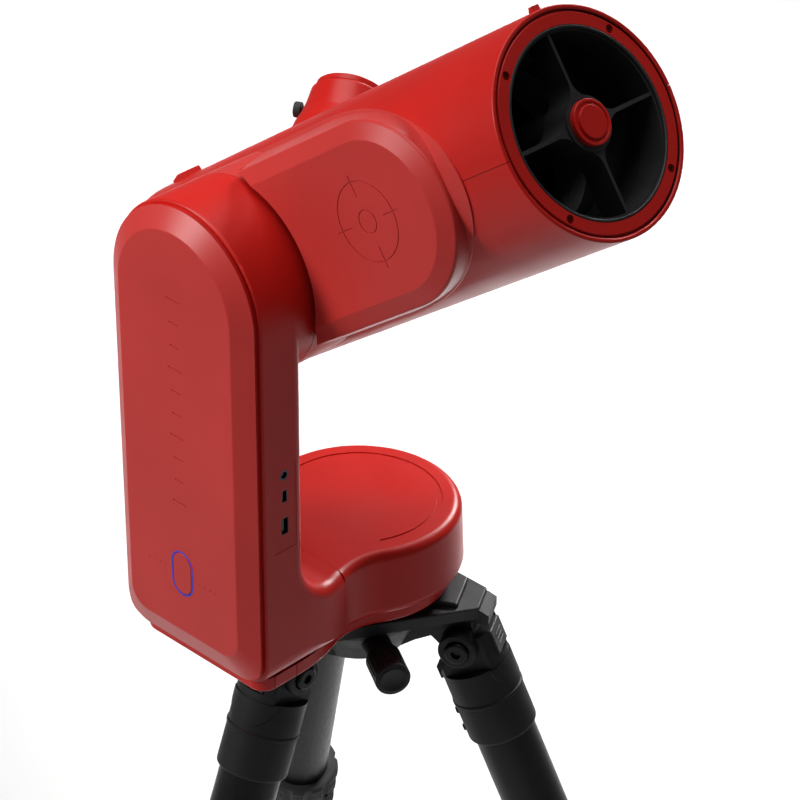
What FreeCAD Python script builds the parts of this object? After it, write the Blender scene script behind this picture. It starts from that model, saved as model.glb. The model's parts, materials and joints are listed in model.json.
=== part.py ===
import FreeCAD, Part
import math
import os

# Star tracker mount: a motorised arm and base that carries its own reflecting telescope,
# on a folding three-legged stand. Millimetres, +Z up. The model is built about the azimuth
# axis, with z = 0 on top of the base, and moved at the end so that the origin is on the
# floor, under the middle of its bounding box.

V = FreeCAD.Vector
AXIS_X = V(1, 0, 0)
AXIS_Z = V(0, 0, 1)

# Telescope
TUBE_R = 86.0
TUBE_WALL = 3.5
TUBE_X = -35.0
FRONT_L = 323.0
REAR_L = 183.0
REST_ALTITUDE = 35.6
BAFFLE_R = 71.3
BAFFLE_BORE = 69.0
HUB_R = 22.0
CAP_R = 17.0
MIRROR_R = 57.0
# Pod on the telescope's side, measured outwards along -X
POD_FACE_X = -131.0
POD_CHAMFER_X = -124.5
POD_FACE_HALF = 57.6
POD_HALF = 71.0
POD_NOSE = 184.5
SKIRT_HALF = 80.0
SKIRT_NOSE = 90.0
SKIRT_TIP = 273.0
POD_CUT_R = 85.5
POD_CUT_FLOOR = -112.0
# Arm
ALT_Z = 260.4
ARM_FACE_X = -195.7
COVER_BACK_X = -186.0
ARM_FRONT_X = -181.8
ARM_BACK_X = -138.0
ARM_HALF = 80.0
COVER_HALF = 77.5
FACE_HALF = 61.4
GROOVE_HALF = 76.2
DRUM_END_X = -123.6
SHELL_WALL = 3.0
ARM_CORNER = 20.0
ARM_ROUND = 10.0
# Base
BASE_R = 85.5
BASE_FOOT_R = 88.0
BASE_BOTTOM = -60.0
SEAM_X = -86.7
SEAM_HALF = 71.0
TAPER_X = ARM_BACK_X
ELBOW_R = 40.0
EDGE_ROUND = 8.0
PLINTH_BOTTOM = -73.0
# Stand
HEAD_TOP = -76.0
PIVOT_R = 91.8
PIVOT_Z = -121.1
LEG_SPREAD = 21.5
LEG_LENGTH = 632.0
LEG_AZIMUTHS = (-60.0, 60.0, 180.0)
KNOB_AZIMUTHS = (-120.0, 0.0, 120.0)
CASTING_R = 30.5
CASTING_L = 96.5
UPPER_R = 26.5
LOWER_R = 21.0
LOCK_R = 37.0
LOCK_START = 340.0
LOCK_END = 408.0
TONGUE_HALF = 13.0
TONGUE_R = 15.5
KNOB_Z = -110.0
# Gears
GEAR_TEETH = 60
PINION_TEETH = 12
GEAR_MODULE = 1.5

parts = {}


def cyl(radius, start, end):
    """A cylinder of the given radius between two points."""
    line = end - start
    return Part.makeCylinder(radius, line.Length, start, line)


def tube(outer, inner, start, end):
    return cyl(outer, start, end).cut(cyl(inner, start, end))


def box(low, high):
    size = high - low
    return Part.makeBox(size.x, size.y, size.z, low)


def join(shapes):
    """Fuse shapes into one and merge the faces that continue each other."""
    whole = shapes[0]
    for shape in shapes[1:]:
        whole = whole.fuse(shape)
    return whole.removeSplitter()


def group(shapes):
    return Part.makeCompound(shapes)


def prism(points, direction):
    """A straight-sided solid from a polygon."""
    face = Part.Face(Part.makePolygon(list(points) + [points[0]]))
    return face.extrude(direction)


def arc(start, middle, end):
    return Part.Arc(start, middle, end).toShape()


def line(start, end):
    return Part.LineSegment(start, end).toShape()


def solid_between(wire_a, wire_b):
    return Part.makeLoft([wire_a, wire_b], True, True)


def edges_where(shape, test):
    return [edge for edge in shape.Edges if test(edge)]


def spun(profile, start, direction):
    """Turn a closed (radius, height) outline about the line from start along direction."""
    points = [V(r, 0, h) for r, h in profile]
    face = Part.Face(Part.makePolygon(points + [points[0]]))
    solid = face.revolve(V(0, 0, 0), AXIS_Z, 360)
    solid.Placement = FreeCAD.Placement(start, FreeCAD.Rotation(AXIS_Z, direction))
    return solid


# ---------------------------------------------------------------- stand

SIN_SPREAD = math.sin(math.radians(LEG_SPREAD))
COS_SPREAD = math.cos(math.radians(LEG_SPREAD))
PIVOT = V(PIVOT_R, 0, PIVOT_Z)
LEG_DOWN = V(SIN_SPREAD, 0, -COS_SPREAD)
LEG_OUT = V(COS_SPREAD, 0, SIN_SPREAD)
AXIS_Y = V(0, 1, 0)
CHEEK_GAP = 0.6
BOLT_R = 5.0
RUNNING = 0.05


def on_leg(along, out=0.0, side=0.0):
    """A point on the leg that stands at azimuth 0."""
    return PIVOT + LEG_DOWN * along + LEG_OUT * out + AXIS_Y * side


def leg_box(along, out, side):
    """A box lined up with the leg, from its limits along, out and sideways."""
    corners = [on_leg(along[0], out[0], side[0]), on_leg(along[1], out[0], side[0]),
               on_leg(along[1], out[1], side[0]), on_leg(along[0], out[1], side[0])]
    return prism(corners, AXIS_Y * (side[1] - side[0]))


def turned(shape, azimuth):
    copy = shape.copy()
    copy.rotate(V(0, 0, 0), AXIS_Z, azimuth)
    return copy


CHEEK_HALF = 22.0
BARREL_R = 16.5
BARREL_HALF = 29.0


def leg_casting():
    """A socket for the leg tube under a two-cheek clevis with a round barrel on its pivot."""
    slot_half = TONGUE_HALF + CHEEK_GAP
    reach = CASTING_R + 3
    body = cyl(CASTING_R, on_leg(-6), on_leg(CASTING_L))
    foot = edges_where(body, lambda e: isinstance(e.Curve, Part.Circle)
                       and abs(e.Curve.Center.z - on_leg(CASTING_L).z) < 0.01)
    body = body.makeFillet(3.0, foot)
    outline = prism([on_leg(-6, 8, -60), on_leg(-6, reach, -60), on_leg(200, reach, -60),
                     on_leg(200, -reach, -60), on_leg(34, -reach, -60), on_leg(8, -14, -60)],
                    AXIS_Y * 120)
    cheeks = join([leg_box((-6, 26), (-reach, reach), (-CHEEK_HALF, CHEEK_HALF)),
                   cyl(CASTING_R + 1, on_leg(26), on_leg(200))])
    body = body.common(outline).common(cheeks)
    barrel = cyl(BARREL_R, on_leg(0, 0, -BARREL_HALF), on_leg(0, 0, BARREL_HALF))
    rims = edges_where(barrel, lambda e: isinstance(e.Curve, Part.Circle))
    body = join([body, barrel.makeFillet(1.5, rims)])
    body = body.cut(leg_box((-40, 20), (-60, 60), (-slot_half, slot_half)))
    body = body.cut(cyl(UPPER_R, on_leg(32), on_leg(CASTING_L + 1)))
    body = body.cut(cyl(BOLT_R + RUNNING, on_leg(0, 0, -40), on_leg(0, 0, 40)))
    for side in (-1, 1):
        seat = cyl(11.0, on_leg(0, 0, side * 26.0), on_leg(0, 0, side * 40.0))
        body = body.cut(seat)
    apron = tube(CASTING_R + 0.9, CASTING_R - 0.5, on_leg(27), on_leg(52))
    tab = cyl(24.0, on_leg(28, 0, 0), on_leg(28, 60, 0))
    lug = leg_box((24, 36), (-CASTING_R - 3.0, -CASTING_R + 4.0), (-6, 6))
    body = join([body, apron.common(tab)])
    return join([body, lug])


def upper_tube():
    return tube(UPPER_R, UPPER_R - 2.0, on_leg(32), on_leg(394))


def angle_stop():
    block = leg_box((-5, 19), (16.8, 29.5), (-TONGUE_HALF + 0.2, TONGUE_HALF - 0.2))
    top = edges_where(block, lambda e: e.BoundBox.YLength > 20)
    return block.makeFillet(2.0, top)


def twist_lock():
    clear = 0.35
    body = cyl(LOCK_R, on_leg(LOCK_START), on_leg(LOCK_END))
    rims = edges_where(body, lambda e: isinstance(e.Curve, Part.Circle))
    body = body.makeFillet(4.0, rims)
    rows = 3
    pitch = (LOCK_END - LOCK_START) / rows
    for row in range(1, rows):
        middle = LOCK_START + row * pitch
        groove = tube(LOCK_R + 2, LOCK_R - 3.0, on_leg(middle - 2.5), on_leg(middle + 2.5))
        body = body.cut(groove)
    flutes = 12
    for index in range(flutes):
        angle = 360.0 * index / flutes
        flute = cyl(4.5, on_leg(LOCK_START - 5, LOCK_R + 1.2), on_leg(LOCK_END + 5, LOCK_R + 1.2))
        flute.rotate(PIVOT, LEG_DOWN, angle)
        body = body.cut(flute)
    body = body.cut(cyl(UPPER_R + clear, on_leg(LOCK_START - 1), on_leg(395)))
    return body.cut(cyl(LOWER_R + clear, on_leg(392), on_leg(LOCK_END + 1)))


def lower_tube():
    return tube(LOWER_R, LOWER_R - 2.0, on_leg(217), on_leg(LEG_LENGTH - 34))


FLOOR_Z = on_leg(LEG_LENGTH).z


def rubber_foot():
    sleeve = cyl(LOWER_R + 4.0, on_leg(LEG_LENGTH - 62), on_leg(LEG_LENGTH + 20))
    top = edges_where(sleeve, lambda e: isinstance(e.Curve, Part.Circle)
                      and e.Curve.Center.z > FLOOR_Z + 30)
    sleeve = sleeve.makeFillet(2.5, top)
    sleeve = sleeve.cut(cyl(LOWER_R, on_leg(LEG_LENGTH - 70), on_leg(LEG_LENGTH - 34)))
    return sleeve.cut(box(V(0, -80, FLOOR_Z - 60), V(500, 80, FLOOR_Z)))


PLATE_TOP = -82.0
PLATE_BOTTOM = -93.0
PLATE_REACH = 107.0
PLATE_INRADIUS = 67.0


def plate_corners(reach, inradius, z):
    """A triangle with its corners cut off square at one distance from the middle."""
    half = (2 * inradius - reach) * math.tan(math.radians(30))
    corners = []
    for azimuth in sorted(LEG_AZIMUTHS):
        angle = math.radians(azimuth)
        out = V(math.cos(angle), math.sin(angle), 0)
        across = V(-math.sin(angle), math.cos(angle), 0)
        corners.append(out * reach - across * half + V(0, 0, z))
        corners.append(out * reach + across * half + V(0, 0, z))
    return corners


def head_lobe():
    """What stands over one leg: a raised pad, a sloping lip and the tongue of the hinge."""
    half = TONGUE_HALF
    pad = box(V(20, -21, PLATE_TOP - 2), V(90, 21, PLATE_TOP + 4.5))
    pad_edges = edges_where(pad, lambda e: e.BoundBox.ZMin > PLATE_TOP + 4.4
                            or (e.BoundBox.XMin > 89.9 and e.BoundBox.ZLength > 1))
    pad = pad.makeFillet(2.0, pad_edges)
    lip = prism([V(98, -15.2, -85.0), V(108, -15.2, -85.0), V(115.5, -15.2, -89.5),
                 V(115.5, -15.2, -98.0), V(98, -15.2, -98.0)], AXIS_Y * 30.4)
    bottom = PIVOT_Z - TONGUE_R
    neck = prism([V(40, -half, -95), V(100, -half, -95), V(100, -half, -103),
                  V(PIVOT_R + TONGUE_R - 1, -half, PIVOT_Z), V(PIVOT_R, -half, bottom),
                  V(80, -half, bottom + 4), V(66, -half, -119), V(52, -half, -126),
                  V(40, -half, -134)], AXIS_Y * 2 * half)
    eye = cyl(TONGUE_R, V(PIVOT_R, -half, PIVOT_Z), V(PIVOT_R, half, PIVOT_Z))
    lobe = join([pad, lip, neck, eye, box(V(20, -half, -97), V(98, half, PLATE_BOTTOM + 1))])
    return lobe.cut(cyl(BOLT_R, V(PIVOT_R, -half - 1, PIVOT_Z), V(PIVOT_R, half + 1, PIVOT_Z)))


KNOB_R = 15.0
KNOB_START = 76.0
KNOB_END = 108.0
KNOB_SHAFT_R = 5.0


def tripod_head():
    """A three-cornered plate on a round core, with a hinge tongue under each corner."""
    plate = prism(plate_corners(PLATE_REACH, PLATE_INRADIUS, PLATE_BOTTOM),
                  AXIS_Z * (PLATE_TOP - PLATE_BOTTOM))
    uprights = edges_where(plate, lambda e: e.BoundBox.ZLength > 5)
    plate = plate.makeFillet(3.0, uprights)
    rims = edges_where(plate, lambda e: e.BoundBox.ZMin > PLATE_TOP - 0.01)
    plate = plate.makeFillet(1.5, rims)
    profile = [(0, -134), (42, -134), (50, -118), (58, -104), (62, PLATE_BOTTOM + 1),
               (62, PLATE_TOP), (64, PLATE_TOP), (64, HEAD_TOP), (0, HEAD_TOP)]
    pieces = [plate, spun(profile, V(0, 0, 0), AXIS_Z)]
    pieces += [turned(head_lobe(), azimuth) for azimuth in LEG_AZIMUTHS]
    boss = cyl(12.0, V(40, 0, KNOB_Z), V(KNOB_START - 2, 0, KNOB_Z))
    pieces += [turned(boss, azimuth) for azimuth in KNOB_AZIMUTHS]
    head = join(pieces)
    hole = cyl(KNOB_SHAFT_R + RUNNING, V(48, 0, KNOB_Z), V(80, 0, KNOB_Z))
    for azimuth in KNOB_AZIMUTHS:
        head = head.cut(turned(hole, azimuth))
    head = head.cut(cyl(36, V(0, 0, -140), V(0, 0, -86)))
    level_seat = cyl(BUBBLE_R, BUBBLE_AT - AXIS_Z * 4, BUBBLE_AT + AXIS_Z * 10)
    return head.cut(level_seat)


BUBBLE_R = 7.0
BUBBLE_AT = V(49.4, 85.6, -85.0)


def bubble_level():
    vial = cyl(BUBBLE_R, BUBBLE_AT - AXIS_Z * 4, BUBBLE_AT + AXIS_Z * 3)
    rims = edges_where(vial, lambda e: isinstance(e.Curve, Part.Circle)
                       and e.Curve.Center.z > BUBBLE_AT.z)
    return vial.makeFillet(1.5, rims)


def pivot_bolt():
    shaft = cyl(BOLT_R, V(PIVOT_R, -28, PIVOT_Z), V(PIVOT_R, 28, PIVOT_Z))
    pieces = [shaft]
    for side in (-1, 1):
        head = cyl(10.0, V(PIVOT_R, side * 26.4, PIVOT_Z), V(PIVOT_R, side * 32.5, PIVOT_Z))
        rim = edges_where(head, lambda e: isinstance(e.Curve, Part.Circle)
                          and abs(e.Curve.Center.y) > 30)
        pieces.append(head.makeFillet(2.0, rim))
    bolt = join(pieces)
    for side in (-1, 1):
        corners = [V(PIVOT_R + 4.6 * math.cos(math.radians(60 * k)), side * 29.5,
                     PIVOT_Z + 4.6 * math.sin(math.radians(60 * k))) for k in range(6)]
        bolt = bolt.cut(prism(corners, AXIS_Y * side * 5))
    return bolt


def clamp_knob():
    grip = cyl(KNOB_R, V(KNOB_START, 0, KNOB_Z), V(KNOB_END, 0, KNOB_Z))
    rims = edges_where(grip, lambda e: isinstance(e.Curve, Part.Circle))
    grip = grip.makeFillet(1.5, rims)
    flutes = 24
    for index in range(flutes):
        flute = cyl(1.1, V(KNOB_START + 4, 0, KNOB_Z + KNOB_R + 0.2),
                    V(KNOB_END - 4, 0, KNOB_Z + KNOB_R + 0.2))
        flute.rotate(V(0, 0, KNOB_Z), AXIS_X, 360.0 * index / flutes)
        grip = grip.cut(flute)
    shaft = cyl(KNOB_SHAFT_R, V(50, 0, KNOB_Z), V(KNOB_START + 2, 0, KNOB_Z))
    return join([grip, shaft])


def gear(teeth, thickness, bore):
    """A spur gear with tapered teeth, flat on z = 0, with one tooth centred on +X."""
    pitch_r = GEAR_MODULE * teeth / 2
    root_r = pitch_r - 1.2 * GEAR_MODULE
    tip_r = pitch_r + 0.8 * GEAR_MODULE
    step = 2 * math.pi / teeth
    points = []
    for index in range(teeth):
        middle = index * step
        for radius, offset in ((root_r, -0.30), (tip_r, -0.12), (tip_r, 0.12), (root_r, 0.30)):
            angle = middle + offset * step
            points.append(V(radius * math.cos(angle), radius * math.sin(angle), 0))
    blank = prism(points, AXIS_Z * thickness)
    return blank.cut(cyl(bore, V(0, 0, -1), V(0, 0, thickness + 1)))


HUB_SHAFT_R = 22.0
FLANGE_R = 46.0
AZ_GEAR_Z = -50.0
GEAR_THICK = 8.0
GEAR_CENTRES = GEAR_MODULE * (GEAR_TEETH + PINION_TEETH) / 2


def azimuth_gear():
    """The fixed hub that the base turns on, with its ring of teeth."""
    hub = cyl(HUB_SHAFT_R, V(0, 0, HEAD_TOP), V(0, 0, -14))
    flange = cyl(FLANGE_R, V(0, 0, HEAD_TOP), V(0, 0, -71))
    teeth = gear(GEAR_TEETH, GEAR_THICK, HUB_SHAFT_R - 1)
    teeth.translate(V(0, 0, AZ_GEAR_Z))
    hub = join([hub, flange, teeth])
    return hub.cut(cyl(12, V(0, 0, HEAD_TOP - 1), V(0, 0, -10)))


def make_stand():
    parts["tripod_head"] = tripod_head()
    parts["bubble_level"] = bubble_level()
    parts["pivot_bolts"] = group([turned(pivot_bolt(), azimuth) for azimuth in LEG_AZIMUTHS])
    parts["azimuth_gear"] = azimuth_gear()
    for number, azimuth in enumerate(KNOB_AZIMUTHS, 1):
        parts["clamp_knob_%d" % number] = turned(clamp_knob(), azimuth)
    leg_makers = {"leg_casting": leg_casting, "upper_tube": upper_tube, "angle_stop": angle_stop,
                  "twist_lock": twist_lock, "lower_tube": lower_tube, "rubber_foot": rubber_foot}
    for name, maker in leg_makers.items():
        piece = maker()
        for number, azimuth in enumerate(LEG_AZIMUTHS, 1):
            parts["%s_%d" % (name, number)] = turned(piece, azimuth)


# ---------------------------------------------------------------- tracking mount


def arch_wire(x, half, bottom, corner):
    """The arm's outline at one x: a half circle over straight sides with rounded feet."""
    turn = corner * (1 - math.sqrt(0.5))
    top = V(x, 0, ALT_Z + half)
    left = V(x, -half, ALT_Z)
    right = V(x, half, ALT_Z)
    right_low = V(x, half, bottom + corner)
    right_foot = V(x, half - corner, bottom)
    left_foot = V(x, -half + corner, bottom)
    left_low = V(x, -half, bottom + corner)
    right_turn = V(x, half - turn, bottom + turn)
    left_turn = V(x, -half + turn, bottom + turn)
    return Part.Wire([arc(left, top, right), line(right, right_low),
                      arc(right_low, right_turn, right_foot), line(right_foot, left_foot),
                      arc(left_foot, left_turn, left_low), line(left_low, left)])


def arch(x_start, x_end, half, bottom=BASE_BOTTOM, corner=ARM_CORNER):
    face = Part.Face(arch_wire(x_start, half, bottom, corner))
    return face.extrude(V(x_end - x_start, 0, 0))


def neck_angle():
    """Half-angle by which the foot narrows where the arm's casting ends, in radians."""
    run = SEAM_X - TAPER_X
    drop = ARM_HALF - SEAM_HALF
    return 2 * math.atan2(drop, run)


def plan_face(z, base_r, inset=0.0, left=TAPER_X):
    """The base seen from above: a disc with a waisted foot that widens to the arm."""
    slope = neck_angle()
    normal = V(math.sin(slope), math.cos(slope), 0)
    seam = V(SEAM_X, SEAM_HALF, 0) - normal * inset
    radius = base_r - inset
    waist = (seam.dot(seam) - radius ** 2) / (2 * (radius - seam.dot(normal)))
    centre = seam + normal * waist
    touch = centre * (radius / (radius + waist))
    middle = centre + ((seam + touch) * 0.5 - centre).normalize() * waist
    half = ARM_HALF - inset
    shoulder = V(TAPER_X, half, 0)
    span = seam - shoulder
    taper_r = (span.x ** 2 + span.y ** 2) / (2 * abs(span.y))
    swing = math.asin(span.x / taper_r) / 2
    bend = shoulder + V(taper_r * math.sin(swing), -taper_r * (1 - math.cos(swing)), 0)

    def low(point):
        return V(point.x, -point.y, z)

    def high(point):
        return V(point.x, point.y, z)

    corner = V(left, half, 0)
    edges = [arc(high(shoulder), high(bend), high(seam)),
             arc(high(seam), high(middle), high(touch)),
             arc(high(touch), V(radius, 0, z), low(touch)),
             arc(low(touch), low(middle), low(seam)), arc(low(seam), low(bend), low(shoulder))]
    if left < TAPER_X:
        edges += [line(low(shoulder), low(corner)), line(low(corner), high(corner)),
                  line(high(corner), high(shoulder))]
    else:
        edges.append(line(low(shoulder), high(shoulder)))
    return Part.Face(Part.Wire(edges))


def foot_profile(y_start, y_end, top, elbow, bottom, left):
    """The arm's elbow seen from the side, from the arm to past the seam."""
    right = SEAM_X + 60
    face_x = ARM_BACK_X
    edges = [line(V(left, y_start, bottom), V(right, y_start, bottom)),
             line(V(right, y_start, bottom), V(right, y_start, top)),
             line(V(right, y_start, top), V(face_x + elbow, y_start, top)),
             arc(V(face_x + elbow, y_start, top),
                 V(face_x + elbow * (1 - math.sqrt(0.5)), y_start,
                   top + elbow * (1 - math.sqrt(0.5))),
                 V(face_x, y_start, top + elbow)),
             line(V(face_x, y_start, top + elbow), V(left, y_start, top + elbow)),
             line(V(left, y_start, top + elbow), V(left, y_start, bottom))]
    return Part.Face(Part.Wire(edges)).extrude(V(0, y_end - y_start, 0))


def right_of(x):
    return box(V(x, -300, -300), V(400, 300, 600))


def left_of(x):
    return box(V(-400, -300, -300), V(x, 300, 600))


def arm_outer():
    slab = arch(ARM_FRONT_X, ARM_BACK_X, ARM_HALF)
    elbow = foot_profile(-100, 100, 0, ELBOW_R, BASE_BOTTOM, ARM_FRONT_X + 8)
    column = plan_face(BASE_BOTTOM - 1, BASE_FOOT_R, 0, ARM_FRONT_X + 4).extrude(V(0, 0, 200))
    elbow = elbow.common(column).common(left_of(SEAM_X))
    elbow = elbow.common(arch(ARM_FRONT_X, SEAM_X + 1, ARM_HALF))
    body = join([slab, elbow])

    def inner_rim(edge):
        limits = edge.BoundBox
        on_back = limits.XLength < 0.01 and abs(limits.XMin - ARM_BACK_X) < 0.01
        on_elbow = (limits.XMin > ARM_BACK_X - 0.01 and limits.XLength > 1
                    and limits.ZMin > -0.01 and abs(edge.CenterOfMass.y) > SEAM_HALF - 5)
        return (on_back and limits.ZMax > ALT_Z - 5) or on_elbow

    body = body.makeFillet(ARM_ROUND, edges_where(body, inner_rim))
    front = edges_where(body, lambda e: e.BoundBox.XMax < ARM_FRONT_X + 0.01)
    body = body.makeFillet(2.0, front)
    drum = cyl(ARM_HALF, V(ARM_BACK_X - 25, 0, ALT_Z), V(DRUM_END_X, 0, ALT_Z))
    band = arch(COVER_BACK_X, ARM_FRONT_X + 3, GROOVE_HALF, BASE_BOTTOM + 4, ARM_CORNER - 4)
    return join([body, drum, band])


BEARING_R = 22.0
ALT_SHAFT_R = 12.0
ALT_GEAR_X = -151.0
BUTTON_Z = 19.5
BUTTON_HALF_HEIGHT = 20.5
LED_HALF = 12.0
LED_WIDTH = 1.3
BUTTON_GAP = 0.35
PORT_LOW = V(-171.5, 0, 63.0)
PORT_HIGH = V(-147.7, 0, 147.0)
PANEL_DEPTH = 2.0


def at_axis(x):
    return V(x, 0, ALT_Z)


def port_outline(y, margin, depth):
    """The port panel's shape, flat below and rounded above, pushed in from y by depth."""
    low_x, high_x = PORT_LOW.x - margin, PORT_HIGH.x + margin
    low_z, high_z = PORT_LOW.z - margin, PORT_HIGH.z + margin
    half = (high_x - low_x) / 2
    side_z = high_z - half
    wire = Part.Wire([line(V(low_x, y, low_z), V(high_x, y, low_z)),
                      line(V(high_x, y, low_z), V(high_x, y, side_z)),
                      arc(V(high_x, y, side_z), V(low_x + half, y, high_z),
                          V(low_x, y, side_z)),
                      line(V(low_x, y, side_z), V(low_x, y, low_z))])
    return Part.Face(wire).extrude(V(0, depth, 0))


DC_AT = V(-160.0, -ARM_HALF, 131.0)
USB_C_AT = V(-160.0, -ARM_HALF, 112.0)
USB_A_AT = V(-160.0, -ARM_HALF, 85.0)
DC_R = 4.6
USB_C_SIZE = (5.4, 11.0)
USB_A_SIZE = (7.4, 15.0)
SOCKET_DEPTH = 12.0


def socket_block(at, size, depth):
    width, height = size
    return box(V(at.x - width / 2, at.y, at.z - height / 2),
               V(at.x + width / 2, at.y + depth, at.z + height / 2))


def arm_shell():
    body = arm_outer()
    wall = SHELL_WALL
    front = ARM_FRONT_X - 20
    cavity = arch(front, ARM_BACK_X - wall, GROOVE_HALF - wall, BASE_BOTTOM + 4 + wall, 10)
    drum_room = cyl(ARM_HALF - wall, at_axis(ARM_BACK_X - 20), at_axis(DRUM_END_X - wall))
    bottom = BASE_BOTTOM - 5
    elbow = foot_profile(-100, 100, -wall - 1, ELBOW_R, bottom, ARM_FRONT_X)
    column = plan_face(bottom - 1, BASE_FOOT_R, wall + 2, ARM_FRONT_X).extrude(V(0, 0, 200))
    elbow = elbow.common(column)
    elbow = elbow.common(foot_profile(-72, 72, -wall - 1, ELBOW_R, bottom, ARM_FRONT_X + 2))
    inside = join([cavity, drum_room, elbow])
    body = body.cut(inside)
    boss = tube(BEARING_R + 4, BEARING_R, at_axis(ARM_BACK_X), at_axis(DRUM_END_X - wall + 1))
    body = join([body, boss])
    body = body.cut(cyl(ALT_SHAFT_R + 0.6, at_axis(-145), at_axis(-100)))
    return body.cut(port_outline(-ARM_HALF - 1, 0, 12))


def stadium(x, half_width, half_height, depth):
    """A slot-shaped block centred on the power button, from x inwards by depth."""
    side = half_height - half_width
    top_left = V(x, -half_width, BUTTON_Z + side)
    top_right = V(x, half_width, BUTTON_Z + side)
    low_left = V(x, -half_width, BUTTON_Z - side)
    low_right = V(x, half_width, BUTTON_Z - side)
    wire = Part.Wire([arc(top_left, V(x, 0, BUTTON_Z + half_height), top_right),
                      line(top_right, low_right),
                      arc(low_right, V(x, 0, BUTTON_Z - half_height), low_left),
                      line(low_left, top_left)])
    return Part.Face(wire).extrude(V(depth, 0, 0))


def arm_cover():
    outer = solid_between(arch_wire(ARM_FACE_X, FACE_HALF, -36, 18),
                          arch_wire(COVER_BACK_X, COVER_HALF, -58, 24))
    rim = edges_where(outer, lambda e: e.BoundBox.XMax < ARM_FACE_X + 0.01)
    outer = outer.makeFillet(3.0, rim)
    inner = solid_between(arch_wire(ARM_FACE_X + SHELL_WALL, FACE_HALF - 4, -32, 14),
                          arch_wire(COVER_BACK_X, COVER_HALF - 4.5, -53.5, 20))
    cover = outer.cut(inner)
    cover = cover.cut(stadium(ARM_FACE_X - 2, LED_HALF, BUTTON_HALF_HEIGHT, 10))
    return cover.cut(group(indicator_holes() + face_grooves()))


DOT_R = 0.6
DOT_FIRST = 19.8
DOT_PITCH = 6.15
DOTS_PER_SIDE = 4


def indicator_holes():
    """Pinholes in a row on each side of the power button."""
    holes = []
    for side in (-1, 1):
        for index in range(DOTS_PER_SIDE):
            at = V(ARM_FACE_X, side * (DOT_FIRST + index * DOT_PITCH), BUTTON_Z - 1.0)
            holes.append(cyl(DOT_R, at - AXIS_X, at + AXIS_X * 1.2))
    return holes


def face_grooves():
    """A plain column of short engraved bars on the arm's face."""
    bars = []
    count = 10
    low_z, high_z = 86.0, 266.0
    for index in range(count):
        z = low_z + (high_z - low_z) * index / (count - 1)
        half = 8.0 if index % 3 == 0 else 5.0
        bars.append(box(V(ARM_FACE_X - 1, -half, z - 0.6), V(ARM_FACE_X + 0.7, half, z + 0.6)))
    return bars


def led_ring():
    ring = stadium(ARM_FACE_X - 0.2, LED_HALF, BUTTON_HALF_HEIGHT, 5)
    return ring.cut(stadium(ARM_FACE_X - 1, LED_HALF - LED_WIDTH,
                            BUTTON_HALF_HEIGHT - LED_WIDTH, 10))


def power_button():
    inset = LED_WIDTH + BUTTON_GAP
    body = stadium(ARM_FACE_X - 0.4, LED_HALF - inset, BUTTON_HALF_HEIGHT - inset, 8)
    rim = edges_where(body, lambda e: e.BoundBox.XMax < ARM_FACE_X)
    return body.makeFillet(0.9, rim)


def base_shell():
    lower = Part.Wire(plan_face(BASE_BOTTOM, BASE_FOOT_R, 0, TAPER_X - 10).OuterWire.Edges)
    upper = Part.Wire(plan_face(0, BASE_R, 0, TAPER_X - 10).OuterWire.Edges)
    outer = solid_between(lower, upper)
    outer = outer.common(right_of(SEAM_X + 0.3))
    top = edges_where(outer, lambda e: e.BoundBox.ZMin > -0.01 and e.BoundBox.XLength > 5)
    low = edges_where(outer, lambda e: e.BoundBox.ZMax < BASE_BOTTOM + 0.01
                      and e.BoundBox.XLength > 5)
    outer = outer.makeFillet(EDGE_ROUND, top + low)
    wall = SHELL_WALL + 1
    bottom = BASE_BOTTOM - 1
    inner = plan_face(bottom, BASE_R, wall + 3, TAPER_X - 10).extrude(V(0, 0, -wall - bottom))
    shell = outer.cut(inner)
    boss = tube(34, 30, V(0, 0, -32), V(0, 0, -wall + 1))
    return join([shell, boss])


def groove_ring():
    """The shallow band on top of the base, open towards the arm with round ends."""
    outer, inner = 69.5, 64.5
    opening = 62.0
    band = tube(outer, inner, V(0, 0, -0.8), V(0, 0, 2))
    reach = 200.0
    side = reach * math.tan(math.radians(opening))
    wedge = prism([V(0, 0, -3), V(-reach, side, -3), V(-reach, -side, -3)], V(0, 0, 10))
    band = band.cut(wedge)
    middle = (outer + inner) / 2
    ends = []
    for sign in (-1, 1):
        angle = math.radians(180 - sign * opening)
        at = V(middle * math.cos(angle), middle * math.sin(angle), 0)
        ends.append(cyl((outer - inner) / 2, at - AXIS_Z * 0.8, at + AXIS_Z * 2))
    return join([band] + ends)


def bottom_cover():
    outline = plan_face(BASE_BOTTOM, BASE_FOOT_R, 9.0, COVER_BACK_X + 8)
    block = outline.extrude(V(0, 0, PLINTH_BOTTOM - BASE_BOTTOM))
    corners = edges_where(block, lambda e: e.BoundBox.ZLength > 10
                          and e.BoundBox.XMax < COVER_BACK_X + 9)
    block = block.makeFillet(14.0, corners)
    rim = edges_where(block, lambda e: e.BoundBox.ZMax < PLINTH_BOTTOM + 0.01)
    block = block.makeFillet(3.0, rim)
    room = plan_face(BASE_BOTTOM, BASE_FOOT_R, 12.0, COVER_BACK_X + 14)
    block = block.cut(room.extrude(V(0, 0, PLINTH_BOTTOM + 3 - BASE_BOTTOM)))
    for x in (-165.0, -141.0, -92.0):
        notch = box(V(x - 0.5, -100, PLINTH_BOTTOM - 1), V(x + 0.5, 100, BASE_BOTTOM - 0.6))
        block = block.cut(notch.cut(box(V(x - 1, -62, -100), V(x + 1, 62, 0))))
    return block.cut(cyl(FLANGE_R + 0.6, V(0, 0, -100), V(0, 0, 0)))


def altitude_motor():
    centre_z = ALT_Z - GEAR_CENTRES
    body = cyl(18.0, V(-185, 0, centre_z), V(-156, 0, centre_z))
    return body.cut(cyl(3.0 + RUNNING, V(-170, 0, centre_z), V(-150, 0, centre_z)))


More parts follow.
